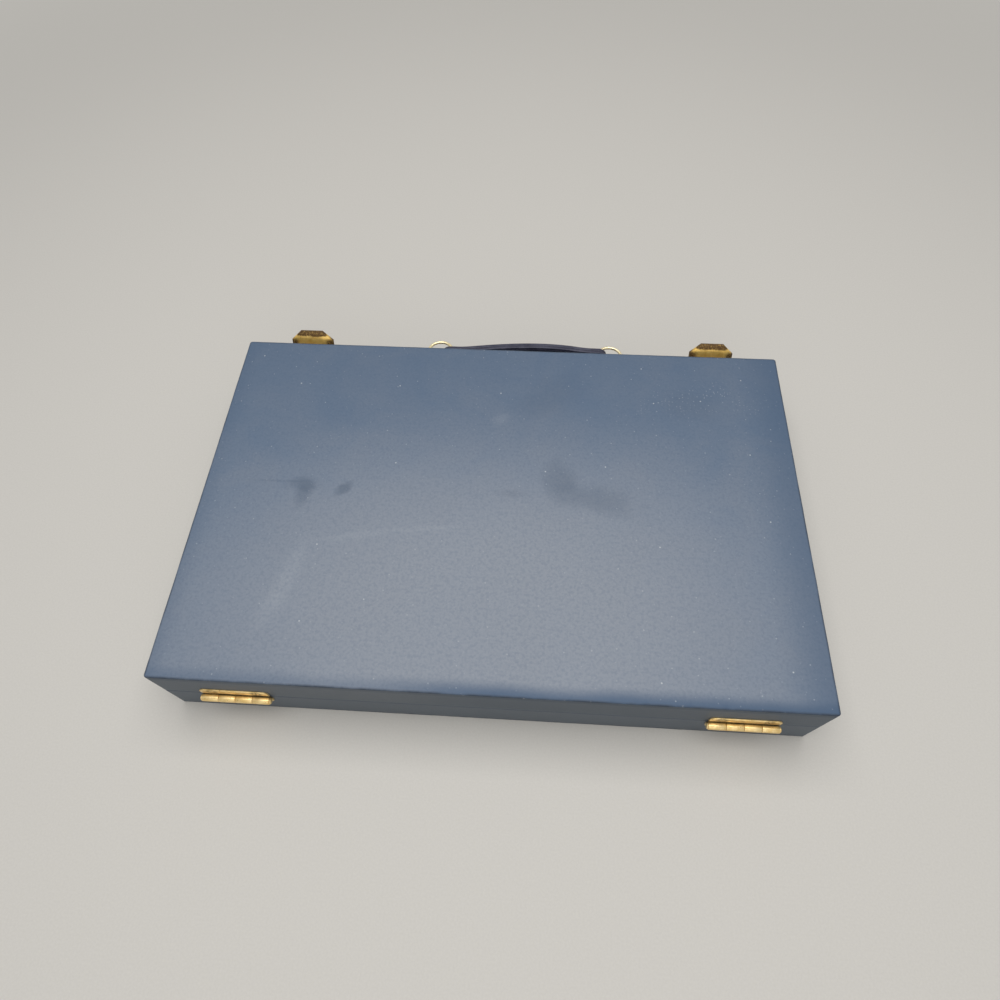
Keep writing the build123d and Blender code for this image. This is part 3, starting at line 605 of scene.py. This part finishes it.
def carve(piece, cutters, cut_finish):
    """Cuts shapes out of a piece and gives the cut faces their own finish."""
    cutter = make_object("cutter", joined(cutters), cut_finish)
    modifier = piece.modifiers.new("carve", "BOOLEAN")
    modifier.object = cutter
    modifier.operation = "DIFFERENCE"
    modifier.solver = "EXACT"
    modifier.material_mode = "TRANSFER"
    piece.data = evaluated_mesh(piece)
    piece.modifiers.clear()
    bpy.data.objects.remove(cutter)


# Leatherette covers: each half's wrap and outer sheet as one skin, with its own small dents

WALL_STEP = 1.5 * MM
CORNER_STEPS = 6
SHARPEST_CORNER = 0.35 * MM
EDGE_ROUND = 0.8 * MM
JOINT_HEIGHT = 1.9 * MM

# The padded face: inset from the edge and drop below its middle, in millimetres
PILLOW = ((26.0, 0.0), (18.0, 0.03), (12.0, 0.09), (7.0, 0.2), (4.0, 0.3), (2.0, 0.42))

# Nicks in the lid's front edge: x, half the width and depth, in millimetres
EDGE_NICKS = ((-106.0, 2.5, 0.5), (-92.0, 1.5, 0.3), (-24.0, 2.0, 0.4), (5.0, 2.5, 0.5),
              (22.0, 1.5, 0.3), (47.0, 2.0, 0.5), (70.0, 2.5, 0.4), (88.0, 1.5, 0.5),
              (112.0, 2.0, 0.4), (131.0, 2.5, 0.5))
NICK_HEIGHT = 2.2 * MM
WAVE_DEPTH = 0.10 * MM
FINE_DEPTH = 0.06 * MM


def wall_loop(inset):
    """The x, y points of one closed loop round the case, at an inset from its walls."""
    radius = max(CORNER_RADIUS - inset, SHARPEST_CORNER)
    reach_x = half_width - inset - radius
    reach_y = half_depth - inset - radius
    steps_x = round(2 * half_width / WALL_STEP)
    steps_y = round(2 * half_depth / WALL_STEP)
    points = []
    sides = ((1, -1, -90, steps_y, (0, 1)), (1, 1, 0, steps_x, (-1, 0)),
             (-1, 1, 90, steps_y, (0, -1)), (-1, -1, 180, steps_x, (1, 0)))
    for side_x, side_y, start, steps, way in sides:
        corner = (side_x * reach_x, side_y * reach_y)
        points += arc_points(corner, radius, start, start + 90, CORNER_STEPS)
        last = points[-1]
        length = 2 * (reach_y if way[0] == 0 else reach_x)
        points += [(last[0] + way[0] * length * i / steps, last[1] + way[1] * length * i / steps)
                   for i in range(1, steps)]
    return points


def rounding(inset, height, start, end, steps):
    """Points of the skin's rounded edge about a centre, with angles in degrees."""
    return [(inset + x, height + z) for x, z in arc_points((0, 0), EDGE_ROUND, start, end, steps)]


def cover_profile():
    """Inset and height pairs: outer face, rounded edge, glued joint, wall, rim, inside and back."""
    outer = [(inset * MM, drop * MM) for inset, drop in PILLOW]
    lowest = PILLOW[-1][1] * MM
    edge = rounding(EDGE_ROUND, lowest + EDGE_ROUND, 270, 180, 5)
    joint = [(0, JOINT_HEIGHT - 0.2 * MM), (0.2 * MM, JOINT_HEIGHT),
             (0.22 * MM, JOINT_HEIGHT + 0.1 * MM), (0.02 * MM, JOINT_HEIGHT + 0.3 * MM)]
    wall = [(0, JOINT_HEIGHT + (rim_height - JOINT_HEIGHT) * share)
            for share in (0.15, 0.35, 0.55, 0.75, 0.9)]
    rim = rounding(EDGE_ROUND, rim_height - EDGE_ROUND, 180, 90, 4)
    rim.append((wall_and_covers / 2, rim_height - 0.05 * MM))
    rim += rounding(wall_and_covers - EDGE_ROUND, rim_height - EDGE_ROUND, 90, 0, 4)
    skin = 0.98 * sheet_thick
    back = [(wall_and_covers, panel_top), (wall_and_covers - skin, panel_top),
            (wall_and_covers - skin, rim_height - skin), (skin, rim_height - skin), (skin, skin)]
    return outer + edge + joint + wall + rim + back


def dent(x, y, z, inset, height, seed):
    """How far a point of the skin is pressed in: by slow waves, and by nicks on the front edge."""
    wave = 0.5 + 0.5 * noise.noise(Vector((x, y, z)) * 55 + Vector((seed, 0, 0)))
    fine = 0.5 + 0.5 * noise.noise(Vector((x, y, z)) * 260 + Vector((0, seed, 0)))
    press = wave * WAVE_DEPTH + fine * FINE_DEPTH if inset < 2 * MM else 0.0
    if seed and y < 0 and inset < 1.0 * MM and height < NICK_HEIGHT:
        for nick_x, nick_width, nick_depth in EDGE_NICKS:
            away = abs(x / MM - nick_x) / nick_width
            if away < 1:
                press += nick_depth * MM * (1 - away * away) * (1 - height / NICK_HEIGHT)
    return press


def cover(name, is_lid, finish, body, nodes):
    profile = cover_profile()
    vertices = []
    for inset, height in profile:
        z = case_height - height if is_lid else height
        for x, y in wall_loop(inset):
            press = dent(x, y, z, inset, height, 7.0 if is_lid else 0.0)
            sink = press if height < 1.5 * MM and inset < 2 * MM else 0.0
            vertices.append((x * (1 - press / half_width), y * (1 - press / half_depth),
                             z - sink if is_lid else z + sink))
    faces = tube_faces(len(profile), len(vertices) // len(profile))
    seat_piece(make_object(name, (vertices, faces), finish, 60), body, nodes)


cover("base_leatherette_cover", False, base_skin, "base", ["base_side_wrap", "base_outer_sheet"])
cover("lid_leatherette_cover", True, lid_skin, "lid", ["lid_side_wrap", "lid_outer_sheet"])


# Checkers

CHECKER_COUNT = 15
CHECKER_RADIUS = 15.0
CHECKER_AIR = 0.05 * MM

# A turned face: radius and depth below the highest ring, in millimetres, on a checker of that radius
CHECKER_FACE = ((5.0, 0.62), (9.3, 0.50), (9.6, 0.12), (10.9, 0.10), (11.2, 0.45), (12.2, 0.45),
                (12.5, 0.0), (13.9, 0.0), (14.5, 0.15), (14.85, 0.5), (15.0, 1.1))
ALONG_X = Matrix(((0, 0, 1, 0), (1, 0, 0, 0), (0, 1, 0, 0), (0, 0, 0, 1)))


def turned_checkers(colour, finish):
    """A row of checkers on edge, each with a rim, a turned groove and a dished middle on both faces."""
    node = f"checkers_{colour}"
    low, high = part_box(node)
    pitch = (high.x - low.x + CHECKER_AIR) / CHECKER_COUNT
    thick = pitch - CHECKER_AIR
    face = [(r * MM * (high.z - low.z) / (2 * CHECKER_RADIUS * MM), z * MM) for r, z in CHECKER_FACE]
    profile = face + [(r, thick - z) for r, z in reversed(face)]
    row = []
    for number in range(CHECKER_COUNT):
        first = (low.x + number * pitch, (low.y + high.y) / 2, (low.z + high.z) / 2)
        row.append(lathe(profile, 56, Matrix.Translation(first) @ ALONG_X))
    made = make_object(f"{node}_turned", joined(row), finish, 30)
    seat_piece(made, "base", [node])


# Dice and doubling cube. Their measures are shares of their size.

DIE_ROUNDING = 0.1
PIP_RADIUS = 0.1
PIP_LIFT = 0.035
PIP_SPACING = 0.25
PIPS = {1: ((0, 0),), 2: ((-1, -1), (1, 1)), 3: ((-1, -1), (0, 0), (1, 1)),
        4: ((-1, -1), (-1, 1), (1, -1), (1, 1)), 5: ((-1, -1), (-1, 1), (0, 0), (1, -1), (1, 1)),
        6: ((-1, -1), (-1, 0), (-1, 1), (1, -1), (1, 0), (1, 1))}
AXES = (Vector((1, 0, 0)), Vector((0, 1, 0)), Vector((0, 0, 1)))

CUBE_ROUNDING = 0.09
FIGURE_SIZE = 0.62
FIGURE_DEPTH = 0.1 * MM
FIGURE_SINK = 0.06 * MM

# The cube's figures, each with its face's turn about X and then about Z
FIGURES = {"64": (0, 0), "2": (180, 0), "4": (90, 0), "8": (90, 90), "16": (90, 180), "32": (90, 270)}


def dice(side, tops):
    """Two dice with drilled pips: opposite faces add up to seven, and each has its own face up."""
    node = f"dice_{side}"
    low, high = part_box(node)
    size = high.z - low.z
    solids, drills = [], []
    for place, (up, across) in zip((low.x + size / 2, high.x - size / 2), tops):
        centre = Vector((place, (low.y + high.y) / 2, (low.z + high.z) / 2))
        solids.append(rounded_box(centre, size, DIE_ROUNDING * size))
        third = ({1, 2, 3} - {min(up, 7 - up), min(across, 7 - across)}).pop()
        for axis, value in ((2, up), (0, across), (1, third)):
            for way, pips in ((1, value), (-1, 7 - value)):
                out = AXES[axis] * way
                one, two = AXES[(axis + 1) % 3], AXES[(axis + 2) % 3]
                for a, b in PIPS[pips]:
                    spot = centre + out * (size / 2 + PIP_LIFT * size)
                    spot += (one * a + two * b) * PIP_SPACING * size
                    drills.append(ball(spot, PIP_RADIUS * size))
    made = make_object(f"{node}_drilled", joined(solids), dice_resin)
    carve(made, drills, pip_ink)
    seat_piece(made, "base", [node])


def doubling_cube():
    """The stake cube, with its six powers of two inlaid as plain figures."""
    low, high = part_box("doubling_cube")
    size = high.z - low.z
    centre = (low + high) / 2
    made = make_object("doubling_cube_cast", rounded_box(centre, size, CUBE_ROUNDING * size), dice_resin)
    seat_piece(made, "base", ["doubling_cube"])
    for figure, (tilt, turn) in FIGURES.items():
        curve = bpy.data.curves.new(f"figure_{figure}", "FONT")
        curve.body = figure
        curve.size = FIGURE_SIZE * size
        curve.extrude = FIGURE_DEPTH
        curve.align_x = "CENTER"
        curve.align_y = "CENTER"
        holder = bpy.data.objects.new("figure_holder", curve)
        bpy.context.scene.collection.objects.link(holder)
        mesh = evaluated_mesh(holder)
        bpy.data.objects.remove(holder)
        rotation = (Matrix.Rotation(math.radians(turn), 4, "Z")
                    @ Matrix.Rotation(math.radians(tilt), 4, "X"))
        out = rotation @ Vector((0, 0, size / 2 - FIGURE_SINK))
        mesh.transform(Matrix.Translation(centre + out) @ rotation)
        made = object_of(f"doubling_cube_figure_{figure}", mesh, number_ink)
        seat_piece(made, "base", [])


# Sewing and dice cups

STITCH_PITCH = 3.0 * MM
STITCH_LENGTH = 2.3 * MM
STITCH_RADIUS = 0.28 * MM

CUP_WALL = 2.2 * MM
CUP_BINDING = 6.0 * MM
CUP_BINDING_LIFT = 0.3 * MM
CUP_CREASE = 0.55 * MM
CUP_BOTTOM_ROUND = 1.2 * MM
CUP_CENTRE = 2 * MM
CUP_SEAM_START = 3 * MM
CUP_SEAM_SHORTER = 5 * MM
CUP_SEAM_SINK = 0.25 * MM
CUP_SEAM_ANGLE = 115


def stitch(start, end):
    """One sewn stitch: a slim capsule from one hole to the next."""
    bm = bmesh.new()
    bmesh.ops.create_uvsphere(bm, u_segments=8, v_segments=6, radius=1)
    along = Vector(end) - Vector(start)
    turn = along.to_track_quat("Z", "Y").to_matrix().to_4x4()
    place = Matrix.Translation((Vector(start) + Vector(end)) / 2) @ turn
    return shape_of(bm, place @ Matrix.Diagonal((STITCH_RADIUS, STITCH_RADIUS, along.length / 2, 1)))


def cup_profile(radius, length):
    """Radius and distance pairs: bottom, side, bound mouth and inside."""
    inner = radius - CUP_WALL
    side = radius - CUP_BINDING_LIFT
    rounded = radius - CUP_BOTTOM_ROUND
    binding = length - CUP_BINDING
    bottom = [(CUP_CENTRE, 0.4 * MM), (radius - 3 * MM, 0.4 * MM), (radius - 2.2 * MM, 0.0)]
    bottom += [(rounded + x, CUP_BOTTOM_ROUND + z)
               for x, z in arc_points((0, 0), CUP_BOTTOM_ROUND, 270, 360, 4)]
    outside = [(side, length * 0.3), (side, binding - 0.5 * MM),
               (radius - CUP_CREASE, binding), (radius, binding + 0.5 * MM)]
    mouth = [(inner + CUP_WALL / 2 + x, length - CUP_WALL / 2 + z)
             for x, z in arc_points((0, 0), CUP_WALL / 2, 0, 180, 8)]
    return bottom + outside + mouth + [(inner, CUP_WALL), (CUP_CENTRE, CUP_WALL)]


def dice_cup(side):
    """A stiff cup wrapped in leather: a bound mouth, a seam along it and stitches round the binding."""
    node = f"dice_cup_{side}"
    low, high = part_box(node)
    radius = (high.z - low.z) / 2
    length = high.x - low.x
    way = 1 if side == "left" else -1
    bottom = low.x if side == "left" else high.x
    centre_y, centre_z = (low.y + high.y) / 2, (low.z + high.z) / 2
    place = Matrix(((0, 0, way, bottom), (way, 0, 0, centre_y), (0, 1, 0, centre_z), (0, 0, 0, 1)))
    made = make_object(f"{node}_wrapped", lathe(cup_profile(radius, length), 72, place), cup_leather, 45)
    seat_piece(made, "base", [node])

    sewn = []
    ring_x = bottom + way * (length - CUP_BINDING / 2)
    count = round(2 * math.pi * radius / STITCH_PITCH)
    for number in range(count):
        ends = []
        for share in (0.0, STITCH_LENGTH / STITCH_PITCH):
            angle = 2 * math.pi * (number + share) / count
            ends.append((ring_x, centre_y + radius * math.cos(angle), centre_z + radius * math.sin(angle)))
        sewn.append(stitch(*ends))
    seam_angle = math.radians(CUP_SEAM_ANGLE)
    seam_y = centre_y + (radius - CUP_SEAM_SINK) * math.cos(seam_angle)
    seam_z = centre_z + (radius - CUP_SEAM_SINK) * math.sin(seam_angle)
    for number in range(int((length - CUP_BINDING - CUP_SEAM_SHORTER) / STITCH_PITCH)):
        start = bottom + way * (CUP_SEAM_START + number * STITCH_PITCH)
        sewn.append(stitch((start, seam_y, seam_z), (start + way * STITCH_LENGTH, seam_y, seam_z)))
    made = make_object(f"{node}_stitches", joined(sewn), strap_thread)
    seat_piece(made, "base", [])


turned_checkers("dark", dark_resin)
turned_checkers("light", light_resin)
dice("left", ((5, 3), (2, 6)))
dice("right", ((6, 4), (3, 1)))
doubling_cube()
dice_cup("left")
dice_cup("right")


# Handle strap: two soft-edged plies with a row of stitches along each edge

PLY_SOFTNESS = 0.55 * MM
STITCHES_FROM_EDGE = 2.0 * MM
STITCHES_FROM_END = 13.0 * MM
STITCH_LIFT = 0.02 * MM


def surface_of(piece):
    bm = bmesh.new()
    bm.from_mesh(piece.data)
    tree = BVHTree.FromBMesh(bm)
    bm.free()
    return tree


def strap():
    plies = {name: softened(f"handle_strap_{name}", "ply", PLY_SOFTNESS, strap_leather, "handle") for name in ("inner", "outer")}
    low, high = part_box("handle_strap_outer")
    sewn = []
    for name, way in (("inner", -1), ("outer", 1)):
        tree = surface_of(plies[name])
        for z in (low.z + STITCHES_FROM_EDGE, high.z - STITCHES_FROM_EDGE):
            x = low.x + STITCHES_FROM_END
            while x + STITCH_LENGTH < high.x - STITCHES_FROM_END:
                ends = []
                for at in (x, x + STITCH_LENGTH):
                    hit = tree.ray_cast(Vector((at, way, z)), Vector((0, -way, 0)))[0]
                    ends.append(hit + Vector((0, way * STITCH_LIFT, 0)))
                sewn.append(stitch(*ends))
                x += STITCH_PITCH
    made = make_object("handle_strap_stitches", joined(sewn), strap_thread)
    seat_piece(made, "handle", [])


strap()


# CAD nodes that keep their shape

def paint_node(name, finish):
    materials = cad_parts[name].data.materials
    materials.clear()
    materials.append(finish)


for half in ("base", "lid"):
    for part in ("front_rail", "back_rail", "left_rail", "right_rail", "panel"):
        paint_node(f"{half}_{part}", rail_wood)
    paint_node(f"{half}_playing_board", board_felt)
    paint_node(f"{half}_points_dark", points_dark)
    paint_node(f"{half}_points_light", points_light)
for name in ("storage_bed", "lid_storage_lining", "cup_lining_left", "cup_lining_right"):
    paint_node(name, flock)
paint_node("handle_eyelets", ring_brass)
for side in ("left", "right"):
    paint_node(f"clasp_{side}_pin", clasp_brass)


# Fittings with softened edges

for half in ("base", "lid"):
    softened(f"{half}_divider", "covered", 0.5 * MM, inner_skin, half)
for side in ("left", "right"):
    for half in ("base", "lid"):
        softened(f"hinge_{side}_{half}_leaf", "pressed", 0.15 * MM, hinge_brass, half)
    softened(f"hinge_{side}_pin", "turned", 0.1 * MM, hinge_brass, "base")
    softened(f"clasp_{side}_catch", "pressed", 0.2 * MM, clasp_brass, "base")
    softened(f"clasp_{side}_plate", "pressed", 0.15 * MM, clasp_brass, "lid")
    softened(f"clasp_{side}_hasp", "pressed", 0.2 * MM, hasp_brass, f"hasp_{side}")
    softened(f"handle_staple_{side}", "bent", 0.2 * MM, ring_brass, "lid")
    softened(f"handle_ring_{side}", "wire", 0.1 * MM, ring_brass, "handle")


# Screws

SLOT_LENGTH = 5 * MM
SLOT_WIDTH = 0.5 * MM
SLOT_DEPTH = 0.45 * MM
HEAD_SOFTNESS = 0.06 * MM
SCREW_SPACING = {("base", "hinge"): 26.0 * MM, ("lid", "hinge"): 26.0 * MM,
                 ("base", "clasp"): 17.6 * MM, ("lid", "clasp"): 18.0 * MM}
BOX_CORNERS = [Vector((a, b, c)) for a in (-0.5, 0.5) for b in (-0.5, 0.5) for c in (-0.5, 0.5)]
BOX_FACES = [(0, 1, 3, 2), (4, 6, 7, 5), (0, 4, 5, 1), (2, 3, 7, 6), (0, 2, 6, 4), (1, 5, 7, 3)]


def slotted_screws(half, kind, out):
    """The four screws of a node, with a driver slot across each head at its own angle."""
    node = f"{half}_{kind}_screws"
    piece = softened(node, "slotted", HEAD_SOFTNESS, screw_brass, half)
    low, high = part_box(node)
    face = high.y if out > 0 else low.y
    radius = (high.z - low.z) / 2
    left, right = low.x + radius, high.x - radius
    spacing = SCREW_SPACING[half, kind]
    cutters = []
    for number, x in enumerate((left, left + spacing, right - spacing, right)):
        angle = 23 + 61 * number + (17 if half == "lid" else 0)
        place = Matrix.Translation((x, face, (low.z + high.z) / 2))
        place = place @ Matrix.Rotation(math.radians(angle), 4, "Y")
        place = place @ Matrix.Diagonal((SLOT_LENGTH, 2 * SLOT_DEPTH, SLOT_WIDTH, 1))
        cutters.append(([place @ corner for corner in BOX_CORNERS], BOX_FACES))
    carve(piece, cutters, screw_dirt)


for half in ("base", "lid"):
    slotted_screws(half, "hinge", -1)
    slotted_screws(half, "clasp", 1)


# Stage, lights and camera

BACKDROP = (0.53, 0.515, 0.48)
PAPER_DARK = (0.618, 0.592, 0.545)
PAPER_LIGHT = (0.648, 0.622, 0.575)
FLOOR_REACH = 8.0
FLOOR_FADE_START, FLOOR_FADE_END = 0.6, 1.3
SKY = (0.93, 0.96, 1.0)
SKY_STRENGTH = 0.22

# Each lamp: name, place, target, size in metres, power in watts
LAMPS = (("overhead", (0.0, 0.04, 1.35), (0, 0, 0.05), 1.3, 16.5),
         ("fill", (0.1, -1.4, 0.66), (0, 0, 0.1), 1.25, 4.2))

CAMERA_PLACE = (0.01945, -0.21825, 0.42979)
CAMERA_TURN = (30.098, 0.855, 3.359)
CAMERA_LENS = 24.712
CAMERA_SENSOR = 36.0


def seen_rays(tree):
    """1 for the rays that show the background: those of the camera, of gloss and of glass."""
    path = tree.nodes.new("ShaderNodeLightPath")
    seen = path.outputs["Is Camera Ray"]
    for kind in ("Is Glossy Ray", "Is Transmission Ray"):
        either = tree.nodes.new("ShaderNodeMath")
        either.operation = "MAXIMUM"
        tree.links.new(seen, either.inputs[0])
        tree.links.new(path.outputs[kind], either.inputs[1])
        seen = either.outputs[0]
    return seen


def blended_surface(tree, share, first, second, output):
    """Sends a blend of two shaders to a tree's output node."""
    either = tree.nodes.new("ShaderNodeMixShader")
    tree.links.new(share, either.inputs[0])
    tree.links.new(first, either.inputs[1])
    tree.links.new(second, either.inputs[2])
    tree.links.new(either.outputs[0], tree.nodes[output].inputs["Surface"])


def paper_floor():
    """Pale paper that fades into the backdrop with the distance, for the rays that show it."""
    finish = Finish("floor_paper", specular_ior_level=0.2)
    speckle = finish.ramp(finish.noise(1.2 * MM, 3), 0.3, 0.7)
    paper = finish.paint(finish.mix(speckle, PAPER_DARK, PAPER_LIGHT), 0.8)
    distance = finish.node("VectorMath", {0: finish.place}, operation="LENGTH").outputs["Value"]
    far = finish.soft_ramp(distance, FLOOR_FADE_START, FLOOR_FADE_END)
    glow = finish.node("Emission", {"Color": BACKDROP}).outputs[0]
    share = finish.times(far, seen_rays(finish.tree))
    blended_surface(finish.tree, share, finish.shader.outputs[0], glow, "Material Output")
    corners = [(x * FLOOR_REACH, y * FLOOR_REACH, 0) for x, y in ((-1, -1), (1, -1), (1, 1), (-1, 1))]
    make_object("floor", (corners, [(0, 1, 2, 3)]), paper)


def studio_world():
    world = bpy.data.worlds.new("studio")
    world.use_nodes = True
    tree = world.node_tree
    sky = tree.nodes["Background"]
    sky.inputs["Color"].default_value = (*SKY, 1)
    sky.inputs["Strength"].default_value = SKY_STRENGTH
    backdrop = tree.nodes.new("ShaderNodeBackground")
    backdrop.inputs["Color"].default_value = (*BACKDROP, 1)
    blended_surface(tree, seen_rays(tree), sky.outputs[0], backdrop.outputs[0], "World Output")
    bpy.context.scene.world = world


def lamps():
    for name, place, target, size, power in LAMPS:
        data = bpy.data.lights.new(name, "AREA")
        data.size = size
        data.energy = power
        lamp = bpy.data.objects.new(name, data)
        lamp.location = place
        lamp.rotation_euler = (Vector(target) - Vector(place)).to_track_quat("-Z", "Y").to_euler()
        bpy.context.scene.collection.objects.link(lamp)


def camera():
    data = bpy.data.cameras.new("photo_camera")
    data.sensor_width = CAMERA_SENSOR
    data.lens = CAMERA_LENS
    made = bpy.data.objects.new("photo_camera", data)
    made.location = CAMERA_PLACE
    made.rotation_euler = tuple(math.radians(a) for a in CAMERA_TURN)
    bpy.context.scene.collection.objects.link(made)
    bpy.context.scene.camera = made
    bpy.context.scene.view_settings.view_transform = "Standard"


paper_floor()
studio_world()
lamps()
camera()
